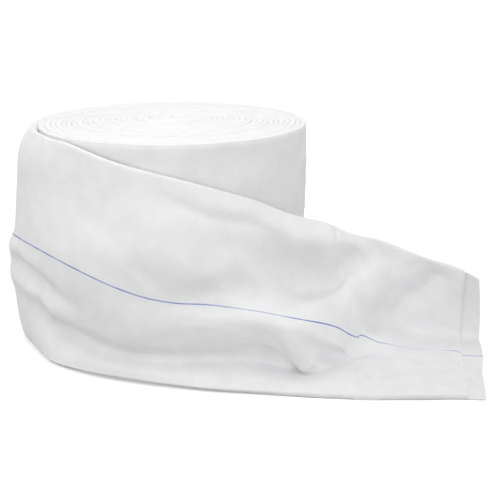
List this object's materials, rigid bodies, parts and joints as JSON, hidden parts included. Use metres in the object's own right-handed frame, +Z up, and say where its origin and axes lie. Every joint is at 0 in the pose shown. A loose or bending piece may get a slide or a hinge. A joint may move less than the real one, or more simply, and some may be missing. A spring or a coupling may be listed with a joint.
{
  "type": "combine dressing roll",
  "caption": "Padded dressing web wound into a roll that stands on one end, with its outer turn pulled free and laid out to one side.",
  "frame": {"origin": "on the roll's axis, at the surface that it stands on", "axes": "+Z up along the roll's axis; +X towards the tip of the loose end; -Y towards the side that the loose end wraps"},
  "size_m": [0.4335, 0.3083, 0.2],
  "materials": {
    "padded_web": "matt white nonwoven with a fine grain and one thin blue line along the middle of the outer face"
  },
  "bodies": {
    "root": {"wound_roll": "padded_web", "loose_end": "padded_web"}
  },
  "joints": []
}
